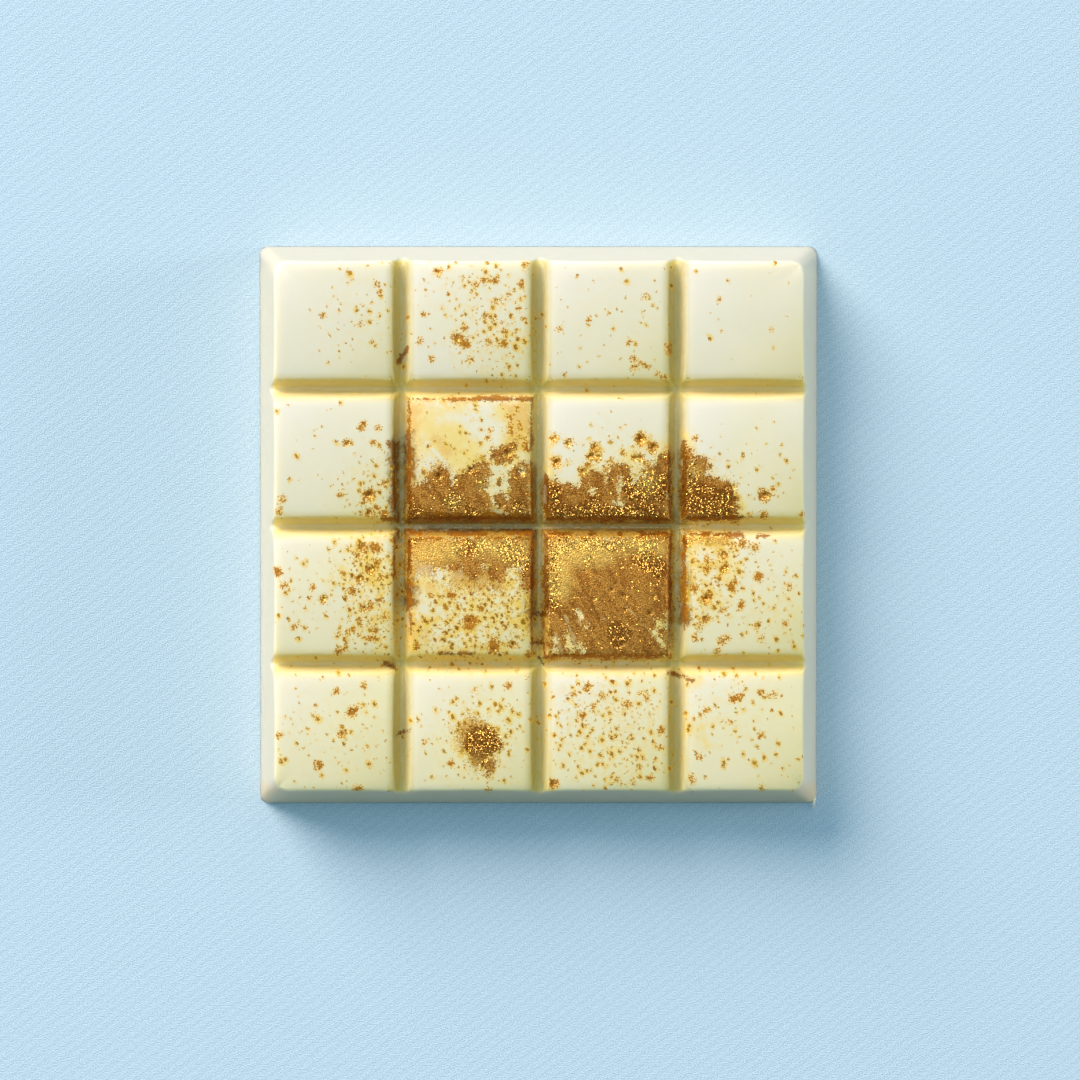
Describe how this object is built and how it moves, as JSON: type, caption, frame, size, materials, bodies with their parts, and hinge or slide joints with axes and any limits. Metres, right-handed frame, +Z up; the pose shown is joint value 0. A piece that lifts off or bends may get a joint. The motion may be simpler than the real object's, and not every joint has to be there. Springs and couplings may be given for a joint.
{
  "type": "chocolate bar",
  "caption": "Square tablet of white chocolate with softly crowned squares between V grooves, sloping side walls and a flat back, dusted with fine gold and brown specks; lies flat and snaps along its grooves",
  "frame": {"origin": "middle of the flat back", "axes": "+Z up through the thickness, X and Y along the sides of the back"},
  "size_m": [0.09, 0.091, 0.0115],
  "materials": {
    "white_chocolate": "satin cream cocoa butter surface, slightly translucent, with gold and brown lustre dust specks, stains and patches set flush in the top"
  },
  "bodies": {
    "root": {"bar": "white_chocolate"}
  },
  "joints": []
}
